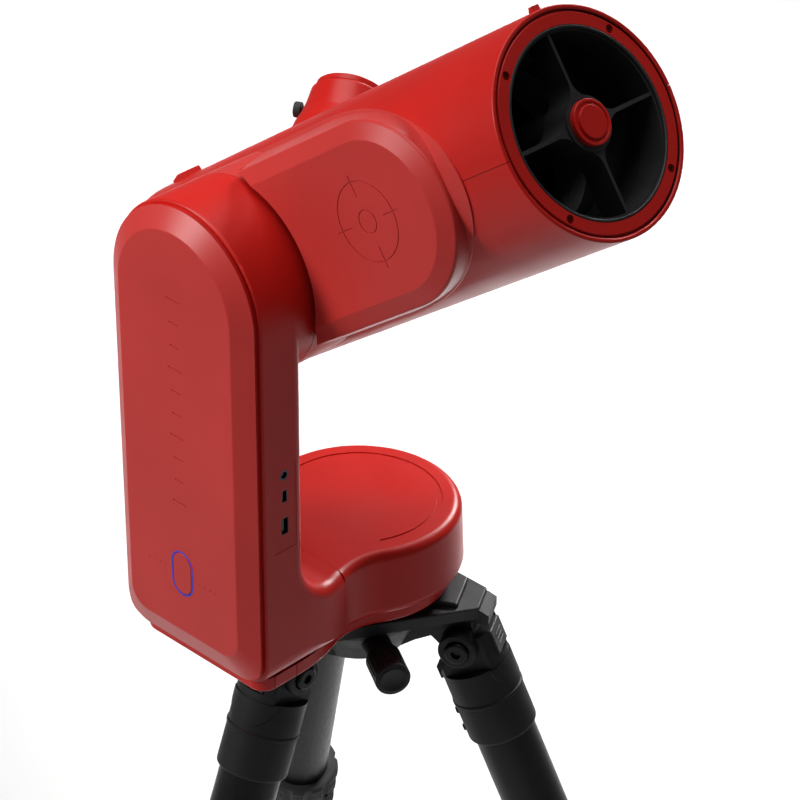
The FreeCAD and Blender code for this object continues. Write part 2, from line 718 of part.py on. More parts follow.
def altitude_pinion():
    centre_z = ALT_Z - GEAR_CENTRES
    wheel = gear(PINION_TEETH, GEAR_THICK, 2.0)
    wheel.rotate(V(0, 0, 0), AXIS_Z, 180.0 / PINION_TEETH)
    wheel.Placement = FreeCAD.Placement(V(ALT_GEAR_X, 0, centre_z),
                                        FreeCAD.Rotation(V(0, 1, 0), 90)).multiply(wheel.Placement)
    shaft = cyl(3.0, V(-169, 0, centre_z), V(ALT_GEAR_X + GEAR_THICK, 0, centre_z))
    return join([wheel, shaft])


AZ_MOTOR_AT = V(-GEAR_CENTRES, 0, 0)


def azimuth_motor():
    body = cyl(17.0, AZ_MOTOR_AT - AXIS_Z * 39, AZ_MOTOR_AT - AXIS_Z * 5)
    return body.cut(cyl(3.0 + RUNNING, AZ_MOTOR_AT - AXIS_Z * 45, AZ_MOTOR_AT - AXIS_Z * 24))


def azimuth_pinion():
    wheel = gear(PINION_TEETH, GEAR_THICK, 2.0)
    wheel.rotate(V(0, 0, 0), AXIS_Z, 180.0 / PINION_TEETH)
    wheel.translate(AZ_MOTOR_AT + AXIS_Z * AZ_GEAR_Z)
    shaft = cyl(3.0, AZ_MOTOR_AT + AXIS_Z * AZ_GEAR_Z, AZ_MOTOR_AT - AXIS_Z * 25)
    return join([wheel, shaft])


def port_panel():
    panel = port_outline(-ARM_HALF + 0.3, 0, PANEL_DEPTH)
    reach = PANEL_DEPTH + 4
    panel = panel.cut(cyl(DC_R, DC_AT, DC_AT + V(0, reach, 0)))
    panel = panel.cut(socket_block(USB_C_AT, USB_C_SIZE, reach))
    return panel.cut(socket_block(USB_A_AT, USB_A_SIZE, reach))


def dc_socket():
    back = DC_AT + V(0, SOCKET_DEPTH, 0)
    body = tube(DC_R, 2.9, DC_AT + V(0, 0.4, 0), back)
    wall = cyl(DC_R, back - V(0, 1.5, 0), back)
    pin = cyl(1.0, DC_AT + V(0, 2, 0), back)
    return join([body, wall, pin])


def usb_socket(at, size, tongue):
    outer = socket_block(at + V(0, 0.4, 0), size, SOCKET_DEPTH)
    room = (size[0] - 1.0, size[1] - 1.0)
    body = outer.cut(socket_block(at - V(0, 1, 0), room, SOCKET_DEPTH - 1))
    blade = socket_block(at + V(0, 2.5, 0), tongue, SOCKET_DEPTH - 3)
    return join([body, blade])


def make_mount():
    parts["arm_shell"] = arm_shell()
    parts["arm_cover"] = arm_cover()
    parts["led_ring"] = led_ring()
    parts["power_button"] = power_button()
    parts["base_shell"] = base_shell().cut(groove_ring())
    parts["bottom_cover"] = bottom_cover()
    parts["port_panel"] = port_panel()
    parts["dc_socket"] = dc_socket()
    parts["usb_c_socket"] = usb_socket(USB_C_AT, USB_C_SIZE, (0.8, 7.5))
    parts["usb_a_socket"] = usb_socket(USB_A_AT, USB_A_SIZE, (1.8, 11.0))
    parts["battery_pack"] = box(V(-181, -56, -40), V(-145, 56, 120))
    parts["altitude_bearing"] = tube(BEARING_R, ALT_SHAFT_R + RUNNING, at_axis(-137),
                                     at_axis(-127))
    parts["altitude_motor"] = altitude_motor()
    parts["altitude_pinion"] = altitude_pinion()
    parts["azimuth_bearing"] = tube(30.0, HUB_SHAFT_R + RUNNING, V(0, 0, -30), V(0, 0, -18))
    parts["azimuth_motor"] = azimuth_motor()
    parts["azimuth_pinion"] = azimuth_pinion()


# ---------------------------------------------------------------- telescope

# The telescope is drawn level, pointing along -Y, and then tipped up about the altitude
# axis. Places on it are given along the tube, up from its axis and outwards along +X.

SEAM_GAP = 0.25
REAR_JOIN = 150.0


def on_tube(along, up=0.0, out=0.0):
    return V(TUBE_X + out, -along, ALT_Z + up)


def raised(shape):
    copy = shape.copy()
    copy.rotate(V(0, 0, ALT_Z), AXIS_X, -REST_ALTITUDE)
    return copy


def along_tube(profile):
    """A solid of revolution about the tube's axis, from (radius, along) points."""
    return spun(profile, on_tube(0), V(0, -1, 0))


EYE_ALONG = -14.0
EYE_ANGLE = 45.0
EYE_DIR = V(math.sin(math.radians(EYE_ANGLE)), 0, math.cos(math.radians(EYE_ANGLE)))
EYE_BASE = 78.0
EYE_SEAT = 127.0
EYE_TOP = 132.5
EYE_NECK_R = 23.5


def on_eye(height, along=0.0):
    return on_tube(EYE_ALONG + along) + EYE_DIR * height


def half_box(sign):
    low, high = sorted((sign * SEAM_GAP, sign * 200.0))
    return box(V(-300, -500, ALT_Z + low), V(300, 500, ALT_Z + high))


def sight(along_start, along_end, height, half):
    """A low moulded lug on top of the tube."""
    base = TUBE_R - 2
    top = TUBE_R + height
    slope = (along_end - along_start) * 0.35
    outline = [on_tube(along_start, base, -half), on_tube(along_end, base, -half),
               on_tube(along_end - 1, top, -half), on_tube(along_start + slope, top, -half),
               on_tube(along_start + 1, top - height * 0.6, -half)]
    lug = prism(outline, AXIS_X * 2 * half)
    sides = edges_where(lug, lambda e: e.BoundBox.XLength < 0.01
                        and e.BoundBox.ZMin > ALT_Z + base + 1)
    return lug.makeFillet(1.0, sides)


def tube_half(sign):
    """Half of the tube, up to its front lip."""
    wall = tube(TUBE_R, TUBE_R - TUBE_WALL, on_tube(-REAR_JOIN), on_tube(FRONT_L))
    rims = edges_where(wall, lambda e: isinstance(e.Curve, Part.Circle)
                       and e.Curve.Center.y < -FRONT_L + 0.01)
    shell = wall.makeFillet(1.2, rims).common(half_box(sign))
    if sign > 0:
        shell = join([shell, sight(-146, -122, 4.5, 7), sight(314, 320, 4.0, 4)])
        shell = shell.cut(cyl(33.0, on_eye(60), on_eye(150)))
    return shell


RING_SEAT = 322.4
RING_R = 80.7
RING_GROOVE = 319.3


def front_ring():
    """The flat ring inside the tube's lip, with a groove around it and four screw wells."""
    inner = BAFFLE_R + 0.1
    outer = TUBE_R - TUBE_WALL - 0.1
    profile = [(inner, 303), (outer, 303), (outer, RING_GROOVE), (RING_R, RING_GROOVE),
               (RING_R, RING_SEAT), (inner, RING_SEAT)]
    ring = along_tube(profile)
    rims = edges_where(ring, lambda e: isinstance(e.Curve, Part.Circle)
                       and e.Curve.Center.y < -RING_SEAT + 0.01 and e.Curve.Radius > 75)
    ring = ring.makeFillet(0.9, rims)
    for place in screw_places():
        ring = ring.cut(cyl(WELL_R, place - V(0, 1, 0), place + V(0, WELL_DEPTH, 0)))
        ring = ring.cut(cyl(SCREW_R, place, place + V(0, 8, 0)))
    return ring


WELL_R = 3.2
WELL_DEPTH = 1.4
SCREW_R = 1.6
SCREW_CIRCLE = 76.0


def screw_places():
    spots = []
    for index in range(4):
        angle = math.radians(45 + 90 * index)
        spots.append(on_tube(RING_SEAT, SCREW_CIRCLE * math.sin(angle),
                             SCREW_CIRCLE * math.cos(angle)))
    return spots


def ring_screw(place):
    head = cyl(WELL_R - 0.4, place + V(0, WELL_DEPTH, 0), place + V(0, 0.5, 0))
    rim = edges_where(head, lambda e: isinstance(e.Curve, Part.Circle)
                      and e.Curve.Center.y < place.y + 0.6)
    screw = join([head.makeFillet(0.4, rim), cyl(SCREW_R, place + V(0, 7, 0), place + V(0, 1, 0))])
    corners = []
    for k in range(6):
        angle = math.radians(60 * k)
        corners.append(place + V(1.3 * math.cos(angle), 1.2, 1.3 * math.sin(angle)))
    return screw.cut(prism(corners, V(0, -3, 0)))


def inner_baffle():
    outer = BAFFLE_R
    front = FRONT_L - 0.4
    lip = along_tube([(BAFFLE_BORE, 255), (outer, 255), (outer, front), (BAFFLE_BORE, front)])
    rims = edges_where(lip, lambda e: isinstance(e.Curve, Part.Circle)
                       and e.Curve.Center.y < -front + 0.01)
    lip = lip.makeFillet(0.9, rims)
    step = along_tube([(62.0, 245), (outer, 245), (outer, 262), (62.0, 262)])
    tail = along_tube([(62.0, 205), (64.5, 205), (64.5, 250), (62.0, 250)])
    return join([lip, step, tail])


SPIDER_BACK = 296.0
SPIDER_FRONT = 320.0
HUB_L = 321.5
VANE_HALF = 1.3


def spider():
    """Four thin vanes that swell into a hub, cut from one plate."""
    plate_r = BAFFLE_BORE - 0.05
    plate = cyl(plate_r, on_tube(SPIDER_BACK), on_tube(SPIDER_FRONT))
    reach = 100.0
    quadrant = box(on_tube(SPIDER_FRONT + 2, VANE_HALF, VANE_HALF),
                   on_tube(SPIDER_BACK - 2, reach, reach))
    opening = cyl(plate_r - 1.6, on_tube(SPIDER_BACK - 2), on_tube(SPIDER_FRONT + 2))
    opening = opening.common(quadrant)
    opening = opening.cut(cyl(HUB_R - 1.5, on_tube(SPIDER_BACK - 3), on_tube(SPIDER_FRONT + 3)))
    centre = on_tube(0)

    def hub_corner(edge):
        middle = edge.CenterOfMass
        away = math.hypot(middle.x - centre.x, middle.z - centre.z)
        return edge.BoundBox.YLength > 20 and away < HUB_R

    opening = opening.makeFillet(15.0, edges_where(opening, hub_corner))
    for index in range(4):
        sector = opening.copy()
        sector.rotate(centre, V(0, 1, 0), 90 * index)
        plate = plate.cut(sector)
    hub = cyl(HUB_R - 1.5, on_tube(SPIDER_BACK), on_tube(HUB_L))
    return join([plate, hub])


def hub_cap():
    start = HUB_L
    profile = [(0, start), (CAP_R, start), (CAP_R, start + 4), (CAP_R - 2.4, start + 4),
               (CAP_R - 2.4, start + 3), (CAP_R - 4.6, start + 3), (CAP_R - 4.6, start + 5),
               (0, start + 5)]
    cap = along_tube(profile)
    rims = edges_where(cap, lambda e: isinstance(e.Curve, Part.Circle)
                       and e.Curve.Center.y < -(start + 3.5))
    return cap.makeFillet(0.6, rims)


def camera_module():
    body = cyl(18.0, on_tube(262), on_tube(SPIDER_BACK - 0.1))
    return body.cut(cyl(11.0, on_tube(261), on_tube(266)))


def primary_mirror():
    """A disc with a shallow concave face."""
    back = -132.0
    front = -117.0
    focal = 450.0
    disc = cyl(MIRROR_R, on_tube(back), on_tube(front))
    ball_r = 2 * focal
    depth = MIRROR_R ** 2 / (2 * ball_r)
    return disc.cut(Part.makeSphere(ball_r, on_tube(front - depth + ball_r)))


def mirror_cell():
    inner = TUBE_R - TUBE_WALL - 0.1
    return along_tube([(0, -142), (inner, -142), (inner, -126), (MIRROR_R + 8, -126),
                       (MIRROR_R + 8, -132), (0, -132)])


def rear_cover():
    profile = [(0, -REAR_L), (TUBE_R, -REAR_L), (TUBE_R, -REAR_JOIN - 0.5), (0, -REAR_JOIN - 0.5)]
    cap = along_tube(profile)
    edge = edges_where(cap, lambda e: isinstance(e.Curve, Part.Circle)
                       and e.Curve.Center.y > REAR_L - 0.01)
    cap = cap.makeFillet(20.0, edge)
    hollow = along_tube([(0, -REAR_L + 3.5), (TUBE_R - 21, -REAR_L + 3.5),
                         (TUBE_R - 7, -REAR_L + 15), (TUBE_R - 3.5, -REAR_L + 24),
                         (TUBE_R - 3.5, -REAR_JOIN + 1), (0, -REAR_JOIN + 1)])
    cap = cap.cut(hollow)
    bearing = tube(9.0, 4.0 + RUNNING, on_tube(-REAR_L + 1), on_tube(-REAR_L + 12))
    cap = cap.cut(cyl(8.0, on_tube(-REAR_L - 5), on_tube(-REAR_L + 10)))
    return join([cap, bearing])


def focus_wheel():
    grip = cyl(21.0, on_tube(-REAR_L - 12), on_tube(-REAR_L - 0.8))
    rims = edges_where(grip, lambda e: isinstance(e.Curve, Part.Circle))
    grip = grip.makeFillet(2.0, rims)
    flutes = 30
    for index in range(flutes):
        flute = cyl(1.2, on_tube(-REAR_L - 9.5, 21.3), on_tube(-REAR_L - 3.0, 21.3))
        flute.rotate(on_tube(0), V(0, 1, 0), 360.0 * index / flutes)
        grip = grip.cut(flute)
    return join([grip, cyl(4.0, on_tube(-REAR_L - 2), on_tube(-REAR_L + 11))])


def nose_wire(x, half, nose, tail=-95.0, tip=None):
    """The pod's outline at one x: straight sides and a half-round or longer nose."""
    tip = nose + half if tip is None else tip

    def at(along, up):
        return V(x, -along, ALT_Z + up)

    long_nose = tip - nose
    if abs(long_nose - half) < 0.01:
        nose_edge = arc(at(nose, half), at(tip, 0), at(nose, -half))
    else:
        ellipse = Part.Ellipse(at(tip, 0), at(nose, half), at(nose, 0))
        start = ellipse.parameter(at(nose, half))
        end = ellipse.parameter(at(nose, -half))
        if end < start:
            start, end = end, start
        nose_edge = ellipse.toShape(start, end)
        if abs(ellipse.value((start + end) / 2).y + tip) > 1:
            nose_edge = ellipse.toShape(end, start + 2 * math.pi)
    return Part.Wire(Part.sortEdges([
        line(at(tail, half), at(nose, half)), nose_edge,
        line(at(nose, -half), at(tail, -half)), line(at(tail, -half), at(tail, half))])[0])


MARK_ALONG = 172.0
MARK_R = 31.0
MARK_DEPTH = 0.6


def pod_mark():
    """A thin engraved circle with a short tick at each quarter, like a reticle."""
    centre = V(POD_FACE_X, -MARK_ALONG, ALT_Z)
    outside = centre - AXIS_X
    inside = centre + AXIS_X * MARK_DEPTH
    grooves = [tube(MARK_R, MARK_R - 0.8, outside, inside),
               tube(MARK_R * 0.3, MARK_R * 0.3 - 0.8, outside, inside)]
    for index in range(4):
        tick = box(outside + V(0, -0.4, MARK_R * 0.62),
                   V(inside.x, -MARK_ALONG + 0.4, ALT_Z + MARK_R + 5))
        tick.rotate(centre, AXIS_X, 90 * index)
        grooves.append(tick)
    return join(grooves)


def side_pod():
    face = solid_between(nose_wire(POD_FACE_X, POD_FACE_HALF, POD_NOSE),
                         nose_wire(POD_CHAMFER_X, POD_HALF, POD_NOSE))
    wall = solid_between(nose_wire(POD_CHAMFER_X, POD_HALF, POD_NOSE),
                         nose_wire(-66.0, SKIRT_HALF - 2, SKIRT_NOSE, tip=262.0))
    skirt = Part.Face(nose_wire(-126.0, SKIRT_HALF, SKIRT_NOSE, tip=SKIRT_TIP))
    skirt = skirt.extrude(V(70, 0, 0)).common(cyl(TUBE_R + 1.1, on_tube(-100), on_tube(300)))
    pod = join([face, wall])
    top = edges_where(pod, lambda e: e.BoundBox.XMax < POD_CHAMFER_X + 0.01)
    pod = pod.makeFillet(2.5, top)
    pod = join([pod, skirt])
    pod = pod.cut(cyl(POD_CUT_R, at_axis(-200), at_axis(POD_CUT_FLOOR)))
    pod = pod.cut(box(V(-200, 0, ALT_Z - 120), V(-60, 200, ALT_Z + 120)))
    boss = cyl(ARM_HALF, at_axis(DRUM_END_X + 0.7), at_axis(-66))
    pod = join([pod, boss]).cut(pod_mark())
    pod = pod.cut(cyl(ALT_SHAFT_R, at_axis(-140), at_axis(-121.2)))
    return pod.cut(cyl(TUBE_R + 0.02, on_tube(-200), on_tube(400)))


def altitude_gear():
    shaft = cyl(ALT_SHAFT_R, at_axis(ALT_GEAR_X - 4), at_axis(-121.2))
    wheel = gear(GEAR_TEETH, GEAR_THICK, ALT_SHAFT_R - 1)
    wheel.Placement = FreeCAD.Placement(at_axis(ALT_GEAR_X),
                                        FreeCAD.Rotation(V(0, 1, 0), 90)).multiply(wheel.Placement)
    return join([shaft, wheel])


KNOB_HEIGHT = 110.0
KNOB_PIN_R = 3.0
KNOB_DIR = (V(0, 1, 0) * math.sqrt(2) + V(-1, 0, 1)).normalize()


def on_knob(reach):
    """A point on the focus knob's axis, which stands out of the eyepiece to the rear left."""
    return on_eye(KNOB_HEIGHT) + KNOB_DIR * reach


def eyepiece_housing():
    profile = [(0, EYE_BASE), (41.0, EYE_BASE), (38.0, 92), (34.5, 102), (32.6, 112),
               (31.2, EYE_SEAT - 2.5), (28.8, EYE_SEAT), (0, EYE_SEAT)]
    body = spun(profile, on_eye(0), EYE_DIR)
    body = body.cut(cyl(TUBE_R + 0.02, on_tube(-200), on_tube(400)))
    body = join([body, cyl(EYE_NECK_R, on_eye(EYE_SEAT - 4), on_eye(EYE_TOP - 2.4))])
    body = body.cut(cyl(20.0, on_eye(60), on_eye(EYE_TOP)))
    return body.cut(cyl(KNOB_PIN_R + RUNNING, on_knob(24), on_knob(60)))


def eyepiece_ring():
    inner = EYE_NECK_R + 0.35
    start = EYE_SEAT + 0.6
    step = EYE_TOP - 2.0
    profile = [(inner, start), (28.4, start), (28.4, EYE_TOP), (21.0, EYE_TOP), (21.0, step),
               (inner, step)]
    ring = spun(profile, on_eye(0), EYE_DIR)
    top = on_eye(EYE_TOP)
    rims = edges_where(ring, lambda e: isinstance(e.Curve, Part.Circle)
                       and (e.Curve.Center - top).Length < 0.01)
    return ring.makeFillet(1.2, rims)


def eyepiece_lens():
    lens = cyl(20.0, on_eye(EYE_TOP - 22), on_eye(EYE_TOP - 8))
    ball_r = 60.0
    depth = 20.0 ** 2 / (2 * ball_r)
    dome = Part.makeSphere(ball_r, on_eye(EYE_TOP - 8 + depth - ball_r))
    dome = dome.common(cyl(20.0, on_eye(EYE_TOP - 8.01), on_eye(EYE_TOP)))
    return join([lens, dome])


def focus_knob():
    grip = cyl(6.5, on_knob(35.6), on_knob(42.0))
    rims = edges_where(grip, lambda e: isinstance(e.Curve, Part.Circle))
    grip = grip.makeFillet(1.0, rims)
    return join([grip, cyl(KNOB_PIN_R, on_knob(26), on_knob(37))])


def make_telescope():
    level = {
        "tube_upper_shell": tube_half(1), "tube_lower_shell": tube_half(-1),
        "front_ring": front_ring(), "inner_baffle": inner_baffle(), "spider": spider(),
        "ring_screws": group([ring_screw(place) for place in screw_places()]),
        "hub_cap": hub_cap(), "camera_module": camera_module(),
        "primary_mirror": primary_mirror(), "mirror_cell": mirror_cell(),
        "rear_cover": rear_cover(), "focus_wheel": focus_wheel(), "side_pod": side_pod(),
        "eyepiece_housing": eyepiece_housing(),
        "eyepiece_ring": eyepiece_ring(), "eyepiece_lens": eyepiece_lens(),
        "focus_knob": focus_knob()}
    for name, shape in level.items():
        parts[name] = raised(shape)
    parts["altitude_gear"] = altitude_gear()


# ---------------------------------------------------------------- files

make_stand()
make_mount()
make_telescope()

# The origin goes to the floor, under the middle of the bounding box. The feet and the front
# of the tube are what reach furthest.
LIMITS = [parts[name].optimalBoundingBox(False, False)
          for name in ("rubber_foot_1", "rubber_foot_2", "rubber_foot_3",
                       "tube_upper_shell", "tube_lower_shell")]
MIDDLE_X = (min(b.XMin for b in LIMITS) + max(b.XMax for b in LIMITS)) / 2
MIDDLE_Y = (min(b.YMin for b in LIMITS) + max(b.YMax for b in LIMITS)) / 2
ORIGIN = V(MIDDLE_X, MIDDLE_Y, FLOOR_Z)

os.makedirs("parts", exist_ok=True)
for node, shape in parts.items():
    shape.translate(ORIGIN * -1)
    shape.exportStep("parts/%s.step" % node)
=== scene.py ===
import bmesh
import bpy
import json
import math
from mathutils import Matrix, Vector


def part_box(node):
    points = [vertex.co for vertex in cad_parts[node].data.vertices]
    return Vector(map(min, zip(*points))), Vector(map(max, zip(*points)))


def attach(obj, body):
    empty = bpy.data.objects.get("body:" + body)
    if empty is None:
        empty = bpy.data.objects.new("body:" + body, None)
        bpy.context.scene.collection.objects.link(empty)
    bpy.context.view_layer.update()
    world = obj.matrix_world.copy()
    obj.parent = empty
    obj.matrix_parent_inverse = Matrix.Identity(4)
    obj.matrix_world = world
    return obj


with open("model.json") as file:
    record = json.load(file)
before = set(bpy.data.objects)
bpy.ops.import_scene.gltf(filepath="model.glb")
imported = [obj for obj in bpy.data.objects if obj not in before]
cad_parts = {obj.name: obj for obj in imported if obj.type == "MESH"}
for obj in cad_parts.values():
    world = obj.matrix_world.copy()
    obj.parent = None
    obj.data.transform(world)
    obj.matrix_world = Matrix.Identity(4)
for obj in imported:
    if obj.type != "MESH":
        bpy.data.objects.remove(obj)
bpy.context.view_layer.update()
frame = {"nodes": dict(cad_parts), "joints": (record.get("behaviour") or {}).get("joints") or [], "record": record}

MM = 0.001
JOINTS = {joint["name"]: joint for joint in frame["joints"]}
LEGS = (1, 2, 3)

# The azimuth and altitude axes fix every other place. Lengths are in millimetres from here on.
BASE_AXIS = Vector(JOINTS["azimuth_turn"]["pos_m"])
TILT_AXIS = Vector(JOINTS["altitude_tilt"]["pos_m"])
ALTITUDE_Z = 260.4
BASE_TOP = TILT_AXIS.z / MM - ALTITUDE_Z
REST_ALTITUDE = math.radians(35.6)
TUBE_X = -35.0
LOOK = Vector((0, -math.cos(REST_ALTITUDE), math.sin(REST_ALTITUDE)))
UP = Vector((0, math.sin(REST_ALTITUDE), math.cos(REST_ALTITUDE)))
EYE_DIR = (Vector((1, 0, 0)) + UP).normalized()
LEG_SPREAD = math.radians(21.5)
LEG_AZIMUTHS = {1: math.radians(-60), 2: math.radians(60), 3: math.radians(180)}
KNOB_AZIMUTHS = {1: math.radians(-120), 2: 0.0, 3: math.radians(120)}

# Places in the telescope: distances along, up and out from its axis, and radii round it.
PAINT_R, PAINT_END = 83.6, 321.5
SEAM_ALONG = (-149.0, 321.0)
SEAM_UP = (-0.2, 0.2)
SEAM_OUT = (82.9, 85.5)
BAFFLE_START, BAFFLE_PITCH, BAFFLE_R, RIDGE_R = 207.0, 3.0, 61.95, 60.3
MIRROR_FACE, CLIP_R = -117.4, 57.5
REAR_FACE = -183.0
COLLIMATION_R, INDEX_R = 46.0, 27.0

# Places in the stand: down and out from a leg's pivot, or up and out from the base's top.
LOCK_START, LOCK_LENGTH, LOCK_R = 340.0, 68.0, 36.8
CASTING_R = 30.3
CASTING_SCREWS_AT = (66.0, 84.0)
FOOT_RINGS_AT = (577.0, 583.0, 589.0)
TAB_FACE = 29.4
KNOB_LEVEL, KNOB_END = -110.0, 108.0
BASE_UNDERSIDE = -73.0


def place(x, y, z):
    """A point given from the azimuth axis and the top of the base, in the row frame."""
    return Vector((BASE_AXIS.x + x * MM, BASE_AXIS.y + y * MM, (BASE_TOP + z) * MM))


def on_tube(along, up=0.0, out=0.0):
    """A point in the telescope: along the tube, up from its axis and outwards along +X."""
    return place(TUBE_X + out, 0, ALTITUDE_Z) + LOOK * along * MM + UP * up * MM


def on_eye(height):
    """A point on the eyepiece's axis, by its distance from the tube's axis."""
    return on_tube(-14.0) + EYE_DIR * height * MM


def around_tube(degrees):
    """A direction square to the tube's axis, turned from +X towards up."""
    angle = math.radians(degrees)
    return Vector((math.cos(angle), 0, 0)) + UP * math.sin(angle)


def leg_frame(leg):
    """The pivot of a leg and its directions down the leg, outwards and sideways."""
    turn = Matrix.Rotation(LEG_AZIMUTHS[leg], 3, "Z")
    down = turn @ Vector((math.sin(LEG_SPREAD), 0, -math.cos(LEG_SPREAD)))
    out = turn @ Vector((math.cos(LEG_SPREAD), 0, math.sin(LEG_SPREAD)))
    return Vector(JOINTS["leg_%d_fold" % leg]["pos_m"]), down, out, turn @ Vector((0, 1, 0))


# ---------------------------------------------------------------- camera and stage

CAMERA_AT = Vector((-1.4638, -1.5339, 2.1380))
CAMERA_HEADING = math.radians(43.955)
CAMERA_PITCH = math.radians(31.486)
CAMERA_ROLL = math.radians(0.392)
CAMERA_LENS = 142.09

FLOOR_REACH = 14.0
WORLD_STRENGTH = 0.10
# Each light's name, place, aim, side in metres, power in watts and spread in degrees.
LIGHTS = (
    ("key_left", (-1.8, 1.0, 2.0), (-0.1, 0.0, 0.95), 0.8, 5.2, 60),
    ("top_soft", (0.2, 0.6, 5.0), (0.1, 0.3, 0.8), 3.2, 62, 130),
    ("side_right", (1.9, 0.4, 1.9), (0.05, 0.0, 0.75), 0.7, 5.5, 60),
    ("wash_behind", (1.9, 1.7, 2.4), (1.6, 1.45, 0.0), 2.0, 29, 75),
    ("wash_near", (1.1, 0.4, 1.7), (0.8, 0.45, 0.0), 0.9, 4, 60))


def make_camera():
    """The camera stands at the front left of the object, above it, with a long lens."""
    heading = Vector((math.cos(CAMERA_HEADING), math.sin(CAMERA_HEADING), 0))
    forward = heading * math.cos(CAMERA_PITCH) - Vector((0, 0, math.sin(CAMERA_PITCH)))
    level = Vector((math.sin(CAMERA_HEADING), -math.cos(CAMERA_HEADING), 0))
    upright = level.cross(forward)
    right = level * math.cos(CAMERA_ROLL) + upright * math.sin(CAMERA_ROLL)
    up = upright * math.cos(CAMERA_ROLL) - level * math.sin(CAMERA_ROLL)
    data = bpy.data.cameras.new("camera")
    data.lens = CAMERA_LENS
    data.sensor_width = 36.0
    camera = bpy.data.objects.new("camera", data)
    bpy.context.scene.collection.objects.link(camera)
    turn = Matrix((right, up, -forward)).transposed().to_4x4()
    camera.matrix_world = Matrix.Translation(CAMERA_AT) @ turn
    bpy.context.scene.camera = camera


def area_light(name, at, aim, side, power, spread):
    """A square soft light, invisible to the camera, of so many metres, watts and degrees."""
    data = bpy.data.lights.new(name, "AREA")
    data.shape = "RECTANGLE"
    data.size = data.size_y = side
    data.energy = power
    data.spread = math.radians(spread)
    light = bpy.data.objects.new(name, data)
    bpy.context.scene.collection.objects.link(light)
    light.location = at
    towards = Vector(aim) - Vector(at)
    light.rotation_euler = towards.to_track_quat("-Z", "Y").to_euler()
    light.visible_camera = False


def make_studio():
    """A wide pale floor, a dim pale surround and large soft lights above and to the left."""
    mesh = bpy.data.meshes.new("floor")
    far = FLOOR_REACH
    mesh.from_pydata([(-far, -far, 0), (far, -far, 0), (far, far, 0), (-far, far, 0)], [],
                     [(0, 1, 2, 3)])
    floor = bpy.data.objects.new("floor", mesh)
    bpy.context.scene.collection.objects.link(floor)
    floor.data.materials.append(floor_material())
    world = bpy.data.worlds.new("studio")
    world.use_nodes = True
    background = world.node_tree.nodes["Background"]
    background.inputs["Color"].default_value = (1.0, 1.0, 1.0, 1.0)
    background.inputs["Strength"].default_value = WORLD_STRENGTH
    bpy.context.scene.world = world
    for light in LIGHTS:
        area_light(*light)


# ---------------------------------------------------------------- materials


class Surface:
    """One node material: a Principled shader with helpers for colour, roughness and bump."""

    def __init__(self, name, colour, rough, metallic=0.0):
        self.material = bpy.data.materials.new(name)
        self.material.use_nodes = True
        self.tree = self.material.node_tree
        self.shader = self.tree.nodes["Principled BSDF"]
        self.colour = (*colour, 1.0)
        self.set("Base Color", self.colour)
        self.set("Roughness", rough)
        self.set("Metallic", metallic)
        self.coords = self.node("ShaderNodeTexCoord").outputs["Object"]
        self.bump_normal = None

    def set(self, socket, value):
        self.shader.inputs[socket].default_value = value

    def node(self, kind, **inputs):
        node = self.tree.nodes.new(kind)
        for key, value in inputs.items():
            node.inputs[key.replace("_", " ")].default_value = value
        return node

    def link(self, out, into):
        self.tree.links.new(out, into)

    def noise(self, scale, detail=2.0, stretch=None):
        """Fractal noise in object space, stretched along an axis if asked."""
        noise = self.node("ShaderNodeTexNoise", Scale=scale, Detail=detail)
        source = self.coords
        if stretch:
            mapping = self.node("ShaderNodeMapping", Scale=stretch)
            self.link(source, mapping.inputs["Vector"])
            source = mapping.outputs["Vector"]
        self.link(source, noise.inputs["Vector"])
        return noise.outputs["Fac"]

    def spread(self, value, low, high, start=0.3, end=0.7):
        """Maps a 0 to 1 value between start and end onto low to high."""
        ramp = self.node("ShaderNodeMapRange", From_Min=start, From_Max=end,
                         To_Min=low, To_Max=high)
        self.link(value, ramp.inputs["Value"])
        return ramp.outputs["Result"]

    def vary_rough(self, value, low, high):
        self.link(self.spread(value, low, high), self.shader.inputs["Roughness"])

    def two_tone(self, share, first, second):
        """A colour that goes from first to second, each a node's output or three numbers."""
        mix = self.tree.nodes.new("ShaderNodeMix")
        mix.data_type = "RGBA"
        self.link(share, mix.inputs[0])
        for colour, socket in ((first, mix.inputs[6]), (second, mix.inputs[7])):
            if isinstance(colour, bpy.types.NodeSocket):
                self.link(colour, socket)
            else:
                socket.default_value = (*colour, 1.0)
        return mix.outputs[2]

    def shifted(self, value, darker, lighter):
        """The base colour, shifted a little between two multiples of itself."""
        return self.two_tone(self.spread(value, 0.0, 1.0, 0.35, 0.65),
                             [c * darker for c in self.colour[:3]],
                             [c * lighter for c in self.colour[:3]])

    def vary_colour(self, value, darker, lighter):
        tone = self.shifted(value, darker, lighter)
        self.link(tone, self.shader.inputs["Base Color"])

    def below(self, value, limit):
        """1 where value is below the limit and 0 elsewhere."""
        test = self.node("ShaderNodeMath")
        test.operation = "LESS_THAN"
        test.inputs[1].default_value = limit
        self.link(value, test.inputs[0])
        return test.outputs[0]

    def both(self, first, second):
        """1 where two values are both 1."""
        product = self.node("ShaderNodeMath")
        product.operation = "MULTIPLY"
        self.link(first, product.inputs[0])
        self.link(second, product.inputs[1])
        return product.outputs[0]

    def vector_math(self, operation, value, constant=None):
        """The outputs of a vector operation on a linked value and, if it takes one, a constant."""
        node = self.node("ShaderNodeVectorMath")
        node.operation = operation
        self.link(value, node.inputs[0])
        if constant is not None:
            node.inputs[1].default_value = constant
        return node.outputs

    def bump(self, value, strength, distance):
        bump = self.node("ShaderNodeBump", Strength=strength, Distance=distance)
        self.link(value, bump.inputs["Height"])
        if self.bump_normal:
            self.link(self.bump_normal, bump.inputs["Normal"])
        self.bump_normal = bump.outputs["Normal"]
        self.link(self.bump_normal, self.shader.inputs["Normal"])


